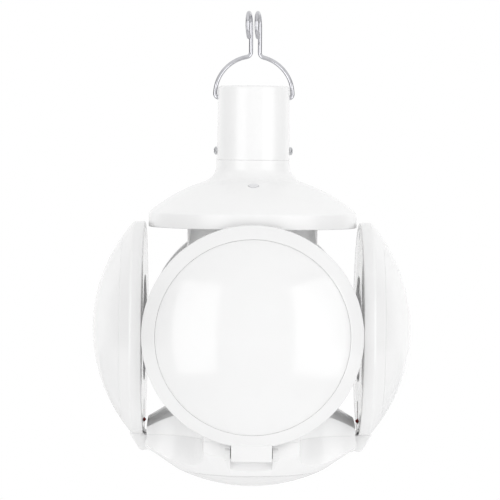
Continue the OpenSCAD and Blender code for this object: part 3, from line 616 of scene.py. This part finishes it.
def arms(name, inset, low, high):
    """A block with the outline of the four hinge arms: square, with a round hollow in each corner."""
    d, r = ARM_D - inset, HOLLOW_R + inset
    lean = math.degrees(math.asin((d - HOLLOW_C) / r))
    corner = arc(HOLLOW_C, -HOLLOW_C, r, 180 + lean, 90 - lean, 24)
    outline = []
    for side in range(4):
        turn = Matrix.Rotation(math.pi / 2 * side, 2)
        outline += [tuple(turn @ Vector(point)) for point in corner]
    return plate(name, [spot(x, y, low) for x, y in outline], Vector((0, 0, (high - low) * MM)))


def deck_cone(drop):
    """The solid under the deck's cone, lowered by drop."""
    apex, far = DECK_EDGE_H + ARM_D * DECK_TAN - drop, 75
    outline = [(0, apex), (far, apex - far * DECK_TAN), (far, -far), (0, -far)]
    return turned("deck_cone", upright(outline), steps=144)


def deck_cover():
    """The deck: a cone on four arms, its rim rounded, hollow below, open for the column."""
    top, hole_r = -2, COLUMN_R + 0.15
    piece = arms("deck_cover_moulding", 0, DECK_JOINT_H, top)
    carve(piece, deck_cone(0), "INTERSECT")
    merge_slivers(piece, 0.01)
    round_edges(piece, lambda a, b: abs(a.z) < 0.2 and b.z > 0.6, 2.0)
    cavity = arms("cavity", SHELL_T, DECK_JOINT_H - 2, top)
    carve(cavity, deck_cone(2.33), "INTERSECT")
    carve(piece, cavity)
    carve(piece, rod("hole", spot(0, 0, -60), spot(0, 0, -10), hole_r, 144))
    seat_r, seat_low, seat_high, lip_high = COLUMN_R + 3, -36.5, -32.3, -30.6
    seat = [(hole_r, seat_low), (seat_r, seat_low), (seat_r, seat_high), (hole_r, lip_high)]
    tube = turned("seat", upright(seat), closed=True)
    merge_slivers(piece, 0.01)
    soften(piece, 0.3)
    return joined([piece, smooth(tube)], "deck_cover_moulding")


def bowl_cone(inset):
    """The solid inside the bowl's cone, shrunk by inset."""
    low_r = LENS_R - inset / math.sin(math.atan(BOWL_TAN))
    low, high = -66, -40
    flank = [(low_r + (h - LENS_JOINT_H) / BOWL_TAN, h) for h in (low, high)]
    return turned("bowl_cone", upright([(0, low)] + flank + [(0, high)]), steps=144)


def bottom_housing():
    """The bowl: a cone on four arms with notches and hinge lugs, hollow, with a pocket for the lens."""
    slot_w = NOTCH_W / 2
    half = slot_w + LUG_T
    floor, pocket_top, cheek_d, notch_d, notch_low = -57.1, -59.1, -36.9, -39.4, -61.8
    piece = arms("bottom_housing_moulding", 0, LENS_JOINT_H, DECK_JOINT_H)
    carve(piece, bowl_cone(0), "INTERSECT")
    cavity = arms("cavity", SHELL_T, floor, DECK_JOINT_H + 2)
    carve(cavity, bowl_cone(SHELL_T), "INTERSECT")
    cheek = block("cheek", spot(-half, -60, -70), spot(half, cheek_d, -40))
    carve(cavity, four_round(cheek, "cheeks"))
    carve(piece, cavity)
    carve(piece, rod("pocket", spot(0, 0, LENS_JOINT_H - 2), spot(0, 0, pocket_top), 33.4, 128))
    lugs = []
    for x in (-half + LUG_T / 2, half - LUG_T / 2):
        ends = [spot(x + reach, -HINGE_D, HINGE_H) for reach in (-LUG_T / 2, LUG_T / 2)]
        lugs.append(rod("lug", *ends, LUG_R, 64))
    carve(piece, four_round(joined(lugs, "lugs"), "lugs"), "UNION")
    notch = block("notch", spot(-slot_w, -80, notch_low), spot(slot_w, notch_d, DECK_JOINT_H + 2), 0.5)
    carve(piece, four_round(notch, "notches"))
    bore = rod("bore", spot(-half + 0.2, -HINGE_D, HINGE_H), spot(half - 0.2, -HINGE_D, HINGE_H), 1.27, 32)
    carve(piece, four_round(bore, "bores"))
    merge_slivers(piece)
    return soften(piece, 0.35)


def bottom_diffuser():
    """The bottom lens: a shallow opal dome with a rounded rim and a spigot."""
    spigot_r, bore_r = 33.2, 31.6
    sphere_r = (LENS_R ** 2 + LENS_DROP ** 2) / (2 * LENS_DROP)
    inner_r = sphere_r - 1.6
    centre_h = LENS_JOINT_H + sphere_r - LENS_DROP
    rim = math.degrees(math.asin(LENS_R / sphere_r))
    inner_rim = math.degrees(math.asin(bore_r / inner_r))
    outline = arc(0, centre_h, sphere_r, -90 + rim, -90, 16)
    outline += arc(0, centre_h, inner_r, -90, -90 + inner_rim, 12)
    outline += [(bore_r, LENS_JOINT_H + 3), (spigot_r, LENS_JOINT_H + 3), (spigot_r, LENS_JOINT_H - 0.05),
                (LENS_R - 0.2, LENS_JOINT_H - 0.05)]
    return smooth(turned("bottom_diffuser_lens", upright(eased(outline, {0: 0.4})), closed=True))


# ---------- petals ----------

def petal_frame():
    """The front petal's frame: rounded ring, domed bezel, and the hinge tab with its knuckle."""
    seat_r, cover_seat_r, seat_d = 48.1, 47.5, 52.5
    outline = [(PETAL_R, PETAL_D)] + ball_arc(PETAL_R, DIFFUSER_R, 5)
    outline += ball_arc(DIFFUSER_R, seat_r, 3, PETAL_BALL_R - 2)
    outline += [(seat_r, seat_d), (cover_seat_r, seat_d), (cover_seat_r, PETAL_D)]
    last = len(outline) - 1
    ring = turned_petal("petal_ring", eased(outline, {0: 0.5, 1: 0.9, 6: 0.14, last: 0.3}), closed=True)
    tip = [(-51.0, -55.1), (-52.2, -54.6), (-56.9, -47.1), (-55.2, -44.4)]
    side = arc(-HINGE_D, HINGE_H, KNUCKLE_R, 90, -90, 14) + tip + [(-PETAL_D, -43.0), (-PETAL_D, -46.9)]
    tab = plate("tab", [spot(-TAB_W / 2, y, z) for y, z in side], Vector((TAB_W * MM, 0, 0)))
    carve(tab, rod("hollow", spot(0, -PETAL_D - 12, PETAL_H), spot(0, -PETAL_D + 2, PETAL_H), 48.2, 160))
    soften(tab, 0.5, 40, 3)
    carve(ring, tab, "UNION")
    carve(ring, rod("bore", spot(-TAB_W, -HINGE_D, HINGE_H), spot(TAB_W, -HINGE_D, HINGE_H), 1.3, 32))
    return smooth(merge_slivers(ring, 0.004), 35)


def petal_diffuser():
    """The front petal's opal dome, its edge rounded into the groove beside the bezel."""
    edge, lip_r, inner_ball_r, rings = DIFFUSER_R - 0.08, 42.4, PETAL_BALL_R - 1.7, 26
    radii = [edge * math.sin(math.pi / 2 * k / rings) for k in range(rings, -1, -1)]
    outline = [(r, ball_depth(r)) for r in radii] + ball_arc(0, lip_r, 12, inner_ball_r)
    outline += [(lip_r, ball_depth(lip_r, inner_ball_r) - 1.2), (edge, ball_depth(edge) - 2.6)]
    return smooth(turned_petal("petal_lens", eased(outline, {0: 0.14}), closed=True))


def petal_cover():
    """The front petal's back plate: a dished field of radial vents, a lead slot and three screw seats."""
    back, dish, dish_r, vents_n, screw_r = PETAL_D, 0.7, 25.0, 24, 44.4
    outline = [(0, back + dish), (24.4, back + dish), (dish_r, back), (COVER_R, back),
               (COVER_R, back + COVER_T), (0, back + COVER_T)]
    piece = turned_petal("petal_back_plate", eased(outline, {1: 0.3, 2: 0.4, 3: 0.4}))
    slot = block("vent", Vector((10, -back - 4, -0.75)) * MM, Vector((23, -back + 2, 0.75)) * MM)
    turns = [Matrix.Rotation(math.tau * k / vents_n, 4, "Y") for k in range(1, vents_n)]
    vents = joined([slot] + [copy_of(slot, "vent", turn) for turn in turns], "vents")
    vents.data.transform(Matrix.Translation(spot(0, 0, PETAL_H)))
    carve(piece, vents)
    carve(piece, block("lead_slot", spot(-2.5, -back - 4, -43), spot(2.5, -back + 2, -32), 0.6))
    for x, z in arc(0, PETAL_H, screw_r, 90, 330, 2):
        carve(piece, rod("seat", spot(x, -back - 1.2, z), spot(x, -back + 2, z), 1.9))
        carve(piece, rod("seat", spot(x, -back - 4, z), spot(x, -back + 2, z), 1.1))
    return soften(piece, 0.15, 35, 2)


# ---------- the lamp ----------

def dress(piece, body, node, material):
    """Gives a piece its material and its place in the lamp, standing for a CAD node."""
    piece.data.materials.clear()
    piece.data.materials.append(material)
    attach(piece, body)
    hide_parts(node)


def on_all_sides(piece, part, material):
    """Copies a front petal's piece to the four petals and takes the pattern piece away."""
    for k, side in enumerate(SIDES):
        twin = copy_of(piece, f"{side}_petal_{part}_moulding", quarter(k))
        dress(twin, side + "_petal", f"{side}_petal_{part}", material)
    bpy.data.objects.remove(piece)


def paint(node, material):
    """Gives a CAD node its finished material."""
    mesh = NODES[node].data
    mesh.materials.clear()
    mesh.materials.append(material)


dress(hook_wire("hook_wire_left_bent", -1), "hook_left", "hook_wire_left", WIRE)
dress(hook_wire("hook_wire_right_bent", 1), "hook_right", "hook_wire_right", WIRE)
dress(neck_cap(), "lamp", "neck_cap", SHELL)
screws = joined([neck_screw("neck_screws_pair", 1), neck_screw("screw", -1)], "neck_screws_pair")
dress(screws, "lamp", "neck_screws", SCREW)
dress(power_button(), "button", "power_button", BUTTON)
dress(upper_housing(), "lamp", "upper_housing", SHELL)
dress(signal_window(), "lamp", "signal_window", SIGNAL)
dress(column(), "lamp", "column_shell", COLUMN_PAINTED_LIGHT)
dress(deck_cover(), "lamp", "deck_cover", SHELL)
dress(bottom_housing(), "lamp", "bottom_housing", SHELL)
dress(bottom_diffuser(), "lamp", "bottom_diffuser", OPAL)
on_all_sides(petal_frame(), "frame", FRAME_PAINTED_SHADE)
on_all_sides(petal_cover(), "cover", BACK)
on_all_sides(petal_diffuser(), "diffuser", OPAL)

INSIDE = {
    "charge_port": SOCKET, "control_board": BOARD, "driver_board": BOARD, "battery_cells": CELL,
    "battery_holder": BLACK, "hinge_washers": BLACK, "hinge_pins": PIN, "dome_screws": SCREW,
    "column_screws": SCREW, "housing_screws": SCREW, "supply_leads": LEAD,
}
for node, material in INSIDE.items():
    paint(node, material)
paint("bottom_led_board", emitter_plate("bottom_emitter_plate", "Z", -1, -BALL_Z + 60.35))
for side, (axis, sign) in zip(SIDES, (("Y", -1), ("X", 1), ("Y", 1), ("X", -1))):
    emitters = emitter_plate(f"{side}_emitter_plate", axis, sign, PETAL_D + COVER_T + 3.05)
    paint(f"{side}_petal_led_board", emitters)
    paint(f"{side}_petal_screws", SCREW)
    paint(f"{side}_petal_leads", LEAD)


# ---------- studio ----------

def studio_world():
    """A white tent: brightest behind and above the lamp, greyer towards the camera, plain white to the eye.

    Polished surfaces mirror its white front, back and roof, and dark gaps at its sides.
    """
    world = bpy.data.worlds.new("studio")
    bpy.context.scene.world = world
    world.use_nodes = True
    tree = world.node_tree
    rays = add(tree, "ShaderNodeLightPath").outputs
    place = add(tree, "ShaderNodeTexCoord").outputs["Generated"]
    axes = add(tree, "ShaderNodeSeparateXYZ", {"Vector": place}).outputs
    along = add(tree, "ShaderNodeVectorMath", {0: place, 1: (0, 0.55, 0.8)}, operation="DOT_PRODUCT")
    tent = add(tree, "ShaderNodeMapRange", {"Value": along.outputs["Value"], "From Min": -0.8,
                                            "From Max": 0.8, "To Min": 0.3, "To Max": 1})
    facing = add(tree, "ShaderNodeMath", {0: axes["Y"]}, operation="ABSOLUTE")
    white_side = add(tree, "ShaderNodeMath", {0: facing, 1: axes["Z"]}, operation="MAXIMUM")
    mirrored = add(tree, "ShaderNodeMapRange", {"Value": white_side, "From Min": 0.27, "From Max": 0.67,
                                                "To Min": 0.04, "To Max": 1})
    light = add(tree, "ShaderNodeMix", {0: rays["Is Glossy Ray"], 2: tent, 3: mirrored}, data_type="FLOAT")
    clear = add(tree, "ShaderNodeMath", {0: rays["Is Camera Ray"], 1: rays["Is Transmission Ray"]},
                operation="MAXIMUM")
    level = add(tree, "ShaderNodeMix", {0: clear, 2: light, 3: 1}, data_type="FLOAT")
    add(tree, "Background", {"Color": (1, 1, 1, 1), "Strength": level})


def softbox(name, azimuth, width, radiance, elevation=3, distance=1.3, height=1.5):
    """A large area lamp that faces the lamp's ball; angles in degrees, lengths in metres."""
    data = bpy.data.lights.new(name, "AREA")
    data.shape = "RECTANGLE"
    data.size, data.size_y = width, height
    data.energy = radiance * math.pi * width * height
    lamp = bpy.data.objects.new(name, data)
    bpy.context.scene.collection.objects.link(lamp)
    a, e = math.radians(azimuth), math.radians(elevation)
    away = Vector((math.sin(a) * math.cos(e), -math.cos(a) * math.cos(e), math.sin(e)))
    lamp.location = spot(0, 0, 0) + away * distance
    lamp.rotation_euler = away.to_track_quat("Z", "Y").to_euler()


def pale_floor():
    """A floor of matt white paper far below, as white as the tent to the eye and clear from underneath."""
    bpy.ops.object.select_all(action="DESELECT")
    bpy.ops.mesh.primitive_plane_add(size=12, location=(0, 0, -1.3))
    floor = bpy.context.object
    floor.name = "floor"
    material, tree, _ = begin("matt_white_paper")
    paper = add(tree, "Principled BSDF", {"Base Color": linear("#F4F4F4"), "Roughness": 0.9})
    glow = add(tree, "ShaderNodeEmission", {"Color": (1, 1, 1, 1), "Strength": 1})
    rays = add(tree, "ShaderNodeLightPath").outputs
    sides = add(tree, "ShaderNodeNewGeometry").outputs
    top = add(tree, "ShaderNodeMixShader", {0: rays["Is Camera Ray"], 1: paper, 2: glow})
    under = add(tree, "ShaderNodeBsdfTransparent")
    both = add(tree, "ShaderNodeMixShader", {0: sides["Backfacing"], 1: top, 2: under})
    add(tree, "Material Output", {"Surface": both})
    floor.data.materials.append(material)


def camera():
    """The photograph's camera: its distance, height and turns are solved from the photograph."""
    focus_px, picture_px = 2400, 500
    orbit_deg, down_deg, roll_deg = -0.5, 2.27, 0.55
    data = bpy.data.cameras.new("camera")
    data.sensor_width = 36
    data.lens = data.sensor_width * focus_px / picture_px
    data.clip_end = 50
    eye = bpy.data.objects.new("camera", data)
    bpy.context.scene.collection.objects.link(eye)
    orbit = Matrix.Rotation(math.radians(orbit_deg), 3, "Z")
    tilt = Matrix.Rotation(math.radians(90 - down_deg), 3, "X")
    roll = Matrix.Rotation(math.radians(roll_deg), 3, "Z")
    eye.location = orbit @ spot(-1.1, -1132, 84)
    eye.rotation_euler = (orbit @ tilt @ roll).to_euler()
    bpy.context.scene.camera = eye


studio_world()
softbox("left_softbox", azimuth=-41, width=0.75, radiance=1.45)
softbox("right_softbox", azimuth=50, width=0.95, radiance=1.35)
pale_floor()
camera()
bpy.context.scene.view_settings.view_transform = "Standard"
